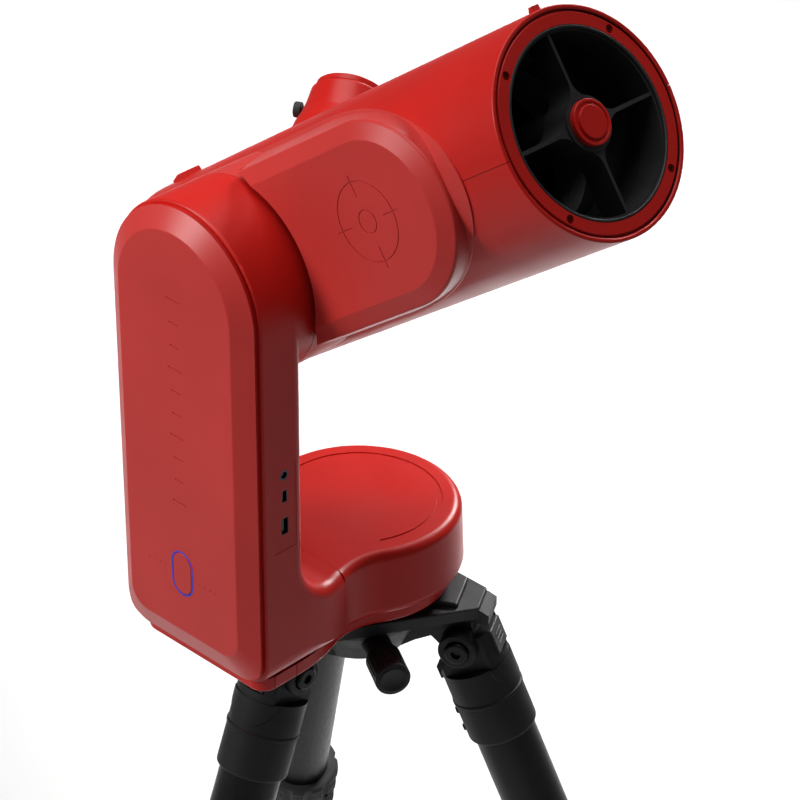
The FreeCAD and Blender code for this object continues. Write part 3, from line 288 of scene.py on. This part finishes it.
def floor_material():
    surface = Surface("floor_pale", (0.62, 0.62, 0.62), 0.85)
    surface.vary_colour(surface.noise(0.8, 3.0), 0.985, 1.0)
    surface.bump(surface.noise(220.0, 2.0), 0.05, 0.0004)
    return surface.material


def moulded(name, colour, rough):
    """Satin moulded plastic, before its colour: spark-eroded grain and handling haze."""
    surface = Surface(name, colour, rough)
    surface.vary_rough(surface.noise(13.0, 6.0), rough - 0.045, rough + 0.055)
    surface.bump(surface.noise(2600.0, 3.0), 0.10, 0.00012)
    surface.bump(surface.noise(90.0, 2.0), 0.05, 0.00025)
    surface.set("Specular IOR Level", 0.3)
    return surface


def moulded_red(name, colour, rough):
    """Moulded plastic with faint flow marks."""
    surface = moulded(name, colour, rough)
    surface.vary_colour(surface.noise(7.0, 4.0), 0.94, 1.05)
    return surface.material


def tube_shell_red(name, colour, rough):
    """The tube's moulding, with matt black paint on the wall that faces its axis."""
    surface = moulded(name, colour, rough)
    from_axis = surface.vector_math("SUBTRACT", surface.coords, on_tube(0))["Vector"]
    across = surface.vector_math("CROSS_PRODUCT", from_axis, LOOK)["Vector"]
    radius = surface.vector_math("LENGTH", across)["Value"]
    along = surface.vector_math("DOT_PRODUCT", from_axis, LOOK)["Value"]
    painted = surface.both(surface.below(radius, PAINT_R * MM),
                           surface.below(along, PAINT_END * MM))
    red = surface.shifted(surface.noise(7.0, 4.0), 0.94, 1.05)
    tone = surface.two_tone(painted, red, BORE_BLACK)
    surface.link(tone, surface.shader.inputs["Base Color"])
    return surface.material


def matt_black_plastic(name, shade=0.012, rough=0.52, grain=1800.0):
    surface = Surface(name, (shade, shade, shade * 1.06), rough)
    surface.vary_colour(surface.noise(18.0, 5.0), 0.8, 1.35)
    surface.vary_rough(surface.noise(30.0, 5.0), rough - 0.06, rough + 0.08)
    surface.bump(surface.noise(grain, 3.0), 0.22, 0.00018)
    surface.set("Specular IOR Level", 0.35)
    return surface.material


def cast_black():
    """Powder-coated casting, with the coat's fine pebble and worn, slightly paler patches."""
    surface = Surface("powder_coat_black", (0.012, 0.012, 0.013), 0.5)
    surface.vary_colour(surface.noise(24.0, 6.0), 0.75, 1.5)
    surface.vary_rough(surface.noise(60.0, 4.0), 0.42, 0.6)
    surface.bump(surface.noise(1300.0, 2.5), 0.35, 0.0003)
    return surface.material


def anodised_tube():
    """Black anodised aluminium with drawing marks along the leg."""
    surface = Surface("anodised_black", (0.008, 0.008, 0.009), 0.38, metallic=0.2)
    surface.vary_colour(surface.noise(9.0, 5.0), 0.8, 1.3)
    surface.vary_rough(surface.noise(420.0, 3.0, stretch=(1.0, 1.0, 0.05)), 0.3, 0.44)
    surface.bump(surface.noise(1500.0, 2.0, stretch=(1.0, 1.0, 0.04)), 0.12, 0.0001)
    surface.set("Specular IOR Level", 0.35)
    return surface.material


def rubber(name, shade=0.017):
    surface = Surface(name, (shade, shade, shade), 0.72)
    surface.vary_colour(surface.noise(40.0, 6.0), 0.75, 1.6)
    surface.vary_rough(surface.noise(70.0, 4.0), 0.62, 0.82)
    surface.bump(surface.noise(900.0, 4.0), 0.4, 0.0003)
    surface.set("Sheen Weight", 0.08)
    surface.set("Sheen Roughness", 0.5)
    return surface.material


def machined(name, colour, rough, grain=1100.0):
    surface = Surface(name, colour, rough, metallic=1.0)
    surface.vary_rough(surface.noise(grain, 2.0), rough - 0.07, rough + 0.09)
    surface.vary_colour(surface.noise(35.0, 4.0), 0.88, 1.08)
    surface.bump(surface.noise(grain, 2.0), 0.08, 0.0001)
    return surface.material


def coated_glass(name, tint):
    surface = Surface(name, tint, 0.04)
    surface.vary_rough(surface.noise(50.0, 5.0), 0.02, 0.07)
    surface.set("Coat Weight", 0.8)
    surface.set("Coat Roughness", 0.03)
    surface.set("Coat Tint", (0.75, 0.85, 1.0, 1.0))
    surface.set("IOR", 1.52)
    return surface.material


def level_liquid():
    """The pale green spirit of the bubble level under its window."""
    surface = Surface("level_liquid", (0.28, 0.42, 0.05), 0.06)
    surface.vary_colour(surface.noise(300.0, 3.0), 0.85, 1.15)
    surface.set("Coat Weight", 0.9)
    surface.set("Coat Roughness", 0.03)
    return surface.material


def silvered():
    surface = Surface("silvered_glass", (0.86, 0.88, 0.9), 0.02, metallic=1.0)
    surface.vary_rough(surface.noise(60.0, 6.0), 0.01, 0.05)
    return surface.material


def light_guide():
    """The ring of light round the power button."""
    surface = Surface("light_guide_blue", (0.02, 0.035, 0.45), 0.35)
    surface.vary_colour(surface.noise(160.0, 3.0), 0.8, 1.15)
    surface.set("Emission Color", (0.03, 0.06, 1.0, 1.0))
    surface.set("Emission Strength", 0.1)
    return surface.material


RED = (0.54, 0.0125, 0.0085)
# The covers are the shell's red, made paler and less saturated here: a painted sheen, the haze of a soft
# reflection put into their base colour.
COVER_RED_WITH_PAINTED_SHEEN = (0.53, 0.036, 0.031)
BORE_BLACK = (0.014, 0.014, 0.015)
MATERIALS = {
    "shell_red": moulded_red("moulded_red", RED, 0.34),
    "cover_red": moulded_red("moulded_red_cover_painted_sheen", COVER_RED_WITH_PAINTED_SHEEN, 0.36),
    "ring_red": moulded_red("moulded_red_ring", RED, 0.32),
    "black_plastic": matt_black_plastic("fine_black_plastic", 0.024, 0.46),
    "port_black": moulded_red("moulded_red_panel", RED, 0.4),
    "socket_metal": machined("dark_plated_steel", (0.10, 0.10, 0.11), 0.35),
    "led_blue": light_guide(),
    "battery_wrap": matt_black_plastic("battery_wrap", 0.03, 0.4, 300.0),
    "motor_steel": machined("motor_steel", (0.42, 0.42, 0.44), 0.3),
    "gear_brass": machined("gear_brass", (0.72, 0.50, 0.20), 0.28),
    "gear_metal": machined("gear_aluminium", (0.62, 0.62, 0.64), 0.32),
    "screw_black": machined("dark_red_screw", (0.22, 0.018, 0.015), 0.42),
    "mirror": silvered(),
    "lens": coated_glass("coated_lens", (0.012, 0.016, 0.024)),
    "head_black": cast_black(),
    "bolt_black": machined("blackened_bolt", (0.035, 0.035, 0.037), 0.38),
    "casting_black": matt_black_plastic("reinforced_black", 0.009, 0.5, 1200.0),
    "stop_grey": matt_black_plastic("stop_tab_grey", 0.05, 0.48, 1500.0),
    "tube_black": anodised_tube(),
    "lock_black": rubber("grip_rubber"),
    "knob_black": matt_black_plastic("knob_black", 0.014, 0.46, 1400.0),
    "foot_rubber": rubber("foot_rubber", 0.02)}
TUBE_SHELLS = ("tube_upper_shell", "tube_lower_shell")


def dress_cad_nodes():
    """Gives each CAD node the material of its slot, and the tube shells their painted one."""
    tube_red = tube_shell_red("moulded_red_tube", RED, 0.34)
    for entry in frame["record"]["subparts"]:
        node = frame["nodes"][entry["node"]]
        surface = MATERIALS[entry["material_slot"]]
        if entry["node"] in TUBE_SHELLS:
            surface = tube_red
        node.data.materials.clear()
        node.data.materials.append(surface)


# ---------------------------------------------------------------- detail pieces


def square_to(axis):
    """Two directions square to an axis and to each other."""
    axis = axis.normalized()
    side = axis.cross(Vector((0, 0, 1)))
    if side.length < 0.1:
        side = axis.cross(Vector((0, 1, 0)))
    side.normalize()
    return side, axis.cross(side)


def add_spun(bm, profile, start, axis, steps=64):
    """Turns a closed outline of (radius, height) millimetres about a line."""
    axis = axis.normalized()
    side, other = square_to(axis)
    rings = []
    for step in range(steps):
        angle = 2 * math.pi * step / steps
        outward = side * math.cos(angle) + other * math.sin(angle)
        rings.append([bm.verts.new(start + outward * r * MM + axis * h * MM)
                      for r, h in profile])
    count = len(profile)
    for step in range(steps):
        here, there = rings[step], rings[(step + 1) % steps]
        for index in range(count):
            follow = (index + 1) % count
            bm.faces.new((here[index], here[follow], there[follow], there[index]))


def add_rib(bm, middle, along, out, length, width, height):
    """A rounded bar that lies along a surface and stands proud of it."""
    along, out = along.normalized(), out.normalized()
    across = along.cross(out)
    rows = []
    for place_along, share in ((-0.5, 0.35), (-0.44, 0.85), (-0.36, 1.0), (0.36, 1.0),
                               (0.44, 0.85), (0.5, 0.35)):
        centre = middle + along * length * place_along * MM
        row = []
        for step in range(7):
            angle = math.pi * step / 6
            row.append(bm.verts.new(centre + across * math.cos(angle) * width / 2 * share * MM
                                    + out * math.sin(angle) * height * share * MM))
        rows.append(row)
    for first, second in zip(rows, rows[1:]):
        for index in range(6):
            bm.faces.new((first[index], first[index + 1], second[index + 1], second[index]))
        bm.faces.new((first[6], first[0], second[0], second[6]))
    bm.faces.new(rows[0])
    bm.faces.new(list(reversed(rows[-1])))


def finish_piece(bm, name, body, slot, material=None):
    """Closes a mesh under construction and fixes it to a CAD body."""
    bmesh.ops.recalc_face_normals(bm, faces=bm.faces)
    mesh = bpy.data.meshes.new(name)
    bm.to_mesh(mesh)
    bm.free()
    mesh.shade_smooth()
    mesh.set_sharp_from_angle(angle=math.radians(35))
    piece = bpy.data.objects.new(name, mesh)
    bpy.context.scene.collection.objects.link(piece)
    mesh.materials.append(material or MATERIALS[slot])
    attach(piece, body)


def screw_profile(radius, height):
    """A domed head with a round socket, as (radius, height) from its seat."""
    socket = radius * 0.48
    return [(0, height * 0.3), (socket, height * 0.3), (socket, height * 0.9),
            (socket * 1.15, height), (radius * 0.72, height), (radius * 0.92, height * 0.8),
            (radius, height * 0.45), (radius, 0), (0, 0)]


def add_screw(bm, at, axis, radius, height):
    profile = [(max(r, 0.02), h) for r, h in screw_profile(radius, height)]
    add_spun(bm, profile, at, axis, 32)


def baffle_threads():
    """Fine ridges on the bore of the light baffle, ahead of the mirror."""
    bm = bmesh.new()
    for index in range(12):
        base = BAFFLE_START + index * BAFFLE_PITCH
        add_spun(bm, [(BAFFLE_R, base), (RIDGE_R, base + 1.2), (RIDGE_R, base + 1.6),
                      (BAFFLE_R, base + 2.8)], on_tube(0), LOOK, 96)
    finish_piece(bm, "baffle_threads", "telescope", "black_plastic")


def seam_gasket():
    """Dark strips that fill the seam between the two halves of the tube."""
    bm = bmesh.new()
    for sign in (-1, 1):
        corners = {(a, u, r): bm.verts.new(on_tube(a, u, sign * r))
                   for a in SEAM_ALONG for u in SEAM_UP for r in SEAM_OUT}
        for index, values in enumerate((SEAM_ALONG, SEAM_UP, SEAM_OUT)):
            for value in values:
                side = [corner for corner in corners if corner[index] == value]
                loop = (side[0], side[1], side[3], side[2])
                bm.faces.new([corners[corner] for corner in loop])
    finish_piece(bm, "seam_gasket", "telescope", "black_plastic")


def mirror_clips():
    """Three clips that hold the edge of the main mirror."""
    bm = bmesh.new()
    for index in range(3):
        out = around_tube(90 + 120 * index)
        add_rib(bm, on_tube(MIRROR_FACE) + out * CLIP_R * MM, out, LOOK, 9.0, 7.0, 2.2)
    finish_piece(bm, "mirror_clips", "telescope", "black_plastic")


def collimation_screws():
    """Three screws on the back of the telescope, round the focus wheel."""
    bm = bmesh.new()
    for index in range(3):
        at = on_tube(REAR_FACE) + around_tube(90 + 120 * index) * COLLIMATION_R * MM
        add_screw(bm, at, -LOOK, 4.6, 2.4)
    finish_piece(bm, "collimation_screws", "telescope", "screw_black")


def rear_index_ring():
    """A raised ring with a mark every 30 degrees, round the focus wheel."""
    bm = bmesh.new()
    add_spun(bm, [(23.0, 0), (23.4, 0.6), (24.6, 0.6), (25.0, 0)], on_tube(REAR_FACE), -LOOK, 96)
    for index in range(12):
        out = around_tube(30 * index)
        length = 5.0 if index % 3 == 0 else 3.0
        middle = on_tube(REAR_FACE + 0.1) + out * (INDEX_R + length / 2) * MM
        add_rib(bm, middle, out, -LOOK, length, 0.9, 0.5)
    finish_piece(bm, "rear_index_ring", "telescope", "black_plastic")


def eyecup_lip():
    """A soft rim inside the eyepiece's turning ring."""
    bm = bmesh.new()
    add_spun(bm, [(20.6, 131.2), (20.9, 132.4), (21.8, 133.2), (23.2, 133.3), (24.0, 132.7),
                  (24.1, 132.3), (21.1, 132.3), (21.1, 131.2)], on_eye(0), EYE_DIR, 96)
    finish_piece(bm, "eyecup_lip", "eyepiece_ring", "black_plastic", MATERIALS["lock_black"])


def bubble_in_level():
    """A domed window over the level, coloured as its green spirit, with a ring engraved on it and a bezel round
    it.
    """
    low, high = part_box("bubble_level")
    top = Vector(((low.x + high.x) / 2, (low.y + high.y) / 2, high.z))
    bm = bmesh.new()
    add_spun(bm, [(5.2, -0.2), (5.2, 0.7), (5.6, 1.0), (6.3, 1.0), (6.6, 0.7), (6.6, -0.2)],
             top, Vector((0, 0, 1)), 48)
    finish_piece(bm, "level_bezel", "stand", "head_black")
    bm = bmesh.new()
    dome = [(0.02, 0.9), (1.6, 0.82), (3.0, 0.6), (4.2, 0.25), (5.1, -0.15), (0.02, -0.15)]
    add_spun(bm, dome, top, Vector((0, 0, 1)), 48)
    finish_piece(bm, "level_window", "stand", "lens", level_liquid())
    bm = bmesh.new()
    add_spun(bm, [(1.9, 0.7), (2.05, 0.95), (2.3, 0.95), (2.45, 0.7)], top,
             Vector((0, 0, 1)), 40)
    finish_piece(bm, "level_mark", "stand", "head_black")


def lock_ribs(leg):
    """Short ribs between the flutes of a twist lock, in three rows."""
    pivot, down, out, side = leg_frame(leg)
    bm = bmesh.new()
    for row in range(3):
        middle = LOCK_START + LOCK_LENGTH * (row + 0.5) / 3
        for sector in range(12):
            for offset in (-8.5, -4.3, 0.0, 4.3, 8.5):
                angle = math.radians(30 * sector + 15 + offset * 0.75)
                outward = out * math.cos(angle) + side * math.sin(angle)
                centre = pivot + down * middle * MM + outward * LOCK_R * MM
                add_rib(bm, centre, down, outward, 11.5, 1.3, 0.9)
    finish_piece(bm, "lock_ribs_%d" % leg, "lock_%d" % leg, "lock_black")


def casting_screws(leg):
    """Two screws through the socket that clamps the leg tube."""
    pivot, down, out, side = leg_frame(leg)
    bm = bmesh.new()
    for along in CASTING_SCREWS_AT:
        for sign in (-1, 1):
            outward = (side * sign * 0.42 - out).normalized()
            at = pivot + down * along * MM + outward * CASTING_R * MM
            add_screw(bm, at, outward, 3.2, 1.8)
    finish_piece(bm, "casting_screws_%d" % leg, "leg_%d" % leg, "bolt_black")


def casting_collar(leg):
    """A raised band round the mouth of the casting."""
    pivot, down = leg_frame(leg)[:2]
    bm = bmesh.new()
    add_spun(bm, [(CASTING_R, 55.0), (CASTING_R + 1, 56.0), (CASTING_R + 1, 58.2),
                  (CASTING_R, 59.2)], pivot, down, 96)
    finish_piece(bm, "casting_collar_%d" % leg, "leg_%d" % leg, "casting_black")


def stop_ribs(leg):
    """Finger ribs on the pull tab that sets the leg's spread."""
    pivot, down, out, side = leg_frame(leg)
    bm = bmesh.new()
    for index in range(3):
        middle = pivot + down * (2.5 + 4.5 * index) * MM + out * TAB_FACE * MM
        add_rib(bm, middle, side, out, 17.0, 1.6, 0.9)
    finish_piece(bm, "stop_ribs_%d" % leg, "stop_%d" % leg, "stop_grey")


def foot_rings(leg):
    """Raised rings round the rubber foot."""
    pivot, down = leg_frame(leg)[:2]
    bm = bmesh.new()
    for along in FOOT_RINGS_AT:
        add_spun(bm, [(24.8, along - 1.4), (25.7, along - 0.7), (25.9, along),
                      (25.7, along + 0.7), (24.8, along + 1.4)], pivot, down, 72)
    finish_piece(bm, "foot_rings_%d" % leg, "lower_leg_%d" % leg, "foot_rubber")


def knob_cap(number):
    """A dished cap on the end of a clamp knob."""
    azimuth = KNOB_AZIMUTHS[number]
    out = Vector((math.cos(azimuth), math.sin(azimuth), 0))
    bm = bmesh.new()
    end = place(0, 0, KNOB_LEVEL) + out * KNOB_END * MM
    add_spun(bm, [(0.02, 0.25), (9.2, 0.25), (10.2, 0.9), (11.4, 1.0), (12.3, 0.6),
                  (12.6, -0.2), (0.02, -0.2)], end, out, 64)
    finish_piece(bm, "knob_cap_%d" % number, "knob_%d" % number, "knob_black")


def base_screws():
    """Four screws in the underside of the base cover."""
    bm = bmesh.new()
    for x, y in ((-160.0, -52.0), (-160.0, 52.0), (-108.0, -52.0), (-108.0, 52.0)):
        add_screw(bm, place(x, y, BASE_UNDERSIDE), Vector((0, 0, -1)), 3.6, 1.2)
    finish_piece(bm, "base_screws", "mount", "screw_black")


def detail_pieces():
    baffle_threads()
    seam_gasket()
    mirror_clips()
    collimation_screws()
    rear_index_ring()
    eyecup_lip()
    bubble_in_level()
    base_screws()
    for leg in LEGS:
        lock_ribs(leg)
        casting_screws(leg)
        casting_collar(leg)
        stop_ribs(leg)
        foot_rings(leg)
        knob_cap(leg)


bpy.context.scene.view_settings.view_transform = "Standard"
make_camera()
make_studio()
dress_cad_nodes()
detail_pieces()
